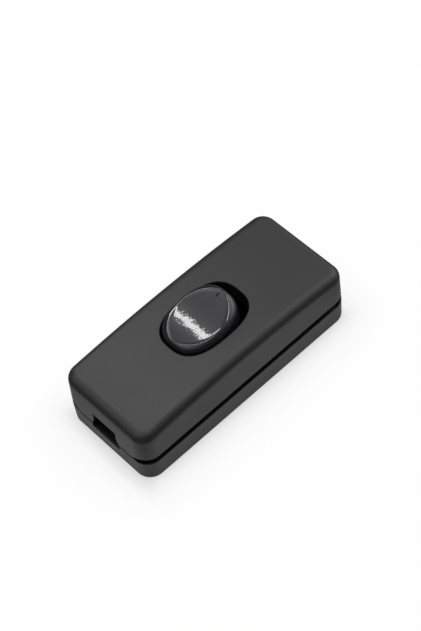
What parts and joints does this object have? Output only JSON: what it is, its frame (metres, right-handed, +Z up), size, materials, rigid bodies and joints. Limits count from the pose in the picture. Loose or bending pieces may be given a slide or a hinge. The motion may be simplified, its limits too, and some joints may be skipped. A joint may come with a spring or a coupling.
{
  "type": "inline cord switch",
  "caption": "Two-shell inline switch for a lamp cord: a dished rocker in a crowned cover, a cord slot at each end, and brass contacts inside.",
  "frame": {"origin": "middle of the flat underside of the base", "axes": "+X along the cord, from the left slot to the right slot; +Z up out of the rocker; +Y to the back"},
  "size_m": [0.062, 0.0268, 0.0213],
  "materials": {
    "housing": "fine satin moulded texture",
    "rocker": "polished",
    "plunger": "smooth",
    "clamp_plastic": "smooth",
    "brass_strip": "stamped",
    "silver": "smooth",
    "steel": "zinc plated",
    "spring_steel": "drawn wire"
  },
  "bodies": {
    "housing": {"cover_shell": "housing", "base_shell": "housing", "fixed_contact": "silver", "live_in_terminal": "brass_strip", "live_out_terminal": "brass_strip", "neutral_link": "brass_strip", "live_out_wire_plate": "steel", "live_out_screw": "steel", "live_in_wire_plate": "steel", "live_in_screw": "steel", "neutral_left_wire_plate": "steel", "neutral_left_screw": "steel", "neutral_right_wire_plate": "steel", "neutral_right_screw": "steel", "cord_clamp_left": "clamp_plastic", "housing_screw_left": "steel", "clamp_screw_left_front": "steel", "clamp_screw_left_back": "steel", "cord_clamp_right": "clamp_plastic", "housing_screw_right": "steel", "clamp_screw_right_front": "steel", "clamp_screw_right_back": "steel"},
    "rocker": {"rocker_button": "rocker", "contact_spring": "spring_steel"},
    "plunger": {"spring_plunger": "plunger"},
    "contact_lever": {"contact_lever": "brass_strip", "moving_contact": "silver"}
  },
  "joints": [
    {"name": "rocker_tilt", "type": "hinge", "parent": "housing", "child": "rocker", "pos_m": [0, 0, 0.01], "axis": [0, 1, 0], "range_deg": [0, 19.2]},
    {"name": "contact_rock", "type": "hinge", "parent": "housing", "child": "contact_lever", "pos_m": [0, 0, 0.00545], "axis": [0, 1, 0], "range_deg": [-20, 0]},
    {"name": "plunger_slide", "type": "slide", "parent": "rocker", "child": "plunger", "axis": [-0.1668, 0, 0.986], "range_m": [0, 0.0012], "stiffness_N_per_m": 300, "springref_m": -0.003, "deforming": ["contact_spring"]}
  ],
  "couplings": [
    {"joint": "contact_rock", "follows": "rocker_tilt", "ratio": -1.0416}
  ]
}
